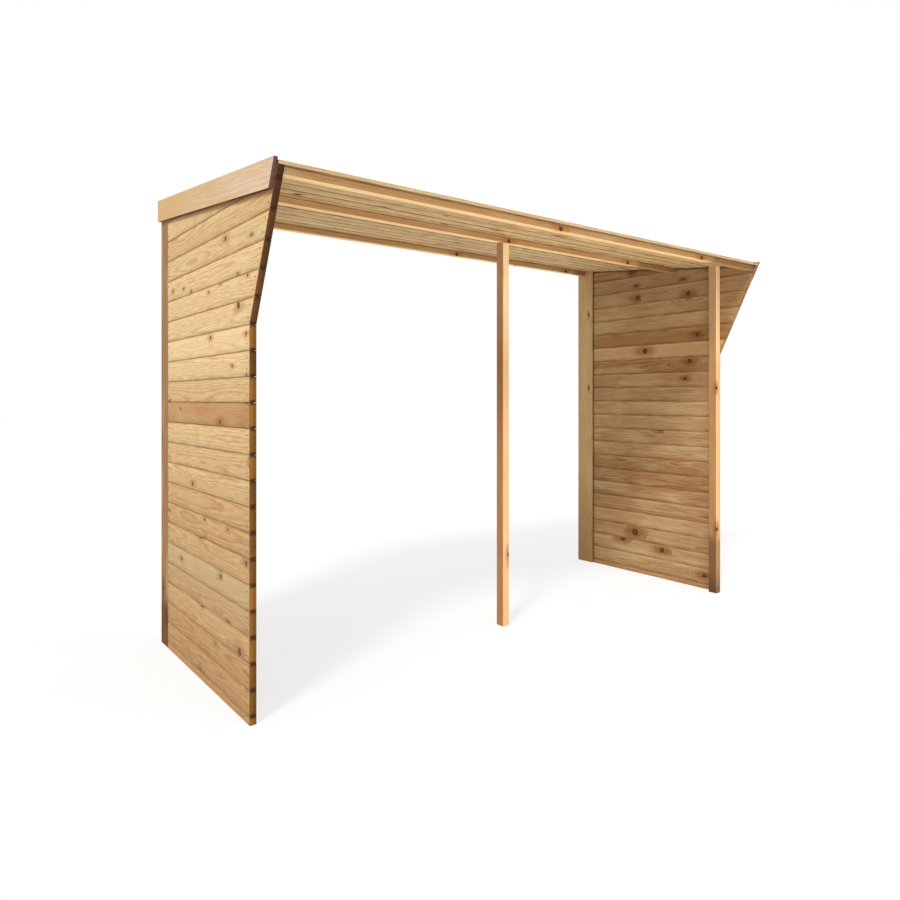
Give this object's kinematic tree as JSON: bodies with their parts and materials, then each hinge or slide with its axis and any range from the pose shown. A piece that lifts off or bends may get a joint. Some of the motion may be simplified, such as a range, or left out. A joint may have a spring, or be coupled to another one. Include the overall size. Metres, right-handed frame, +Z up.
{
  "type": "open-fronted log store",
  "caption": "Open-fronted wooden log store with boarded side walls that flare forward at the top, a middle post and a sloping boarded roof on purlins.",
  "frame": {"origin": "on the ground, under the middle of the whole store's box", "axes": "+X along the store's length from its left wall to its right wall, +Y from the open front to the rear, +Z up"},
  "size_m": [2.4046, 1.101, 1.7026],
  "materials": {
    "wall_board": "pressure-treated planed softwood, bare, dry",
    "rear_post": "pressure-treated planed softwood, bare, dry",
    "post": "pressure-treated planed softwood, bare, dry",
    "purlin": "pressure-treated planed softwood, bare, dry",
    "bargeboard": "pressure-treated planed softwood, bare, dry",
    "roof_board": "pressure-treated planed softwood, bare, dry",
    "nail": "galvanised wire nail heads, dulled by weather"
  },
  "bodies": {
    "root": {"left_wall_boards": "wall_board", "left_flare_boards": "wall_board", "right_wall_boards": "wall_board", "right_flare_boards": "wall_board", "rear_left_post": "rear_post", "rear_right_post": "rear_post", "front_left_post": "post", "front_right_post": "post", "middle_post": "post", "front_purlin": "purlin", "middle_purlin": "purlin", "rear_purlin": "purlin", "left_bargeboard": "bargeboard", "right_bargeboard": "bargeboard", "roof_board_1": "roof_board", "roof_board_2": "roof_board", "roof_board_3": "roof_board", "roof_board_4": "roof_board", "roof_board_5": "roof_board", "roof_board_6": "roof_board", "roof_board_7": "roof_board"}
  },
  "joints": []
}
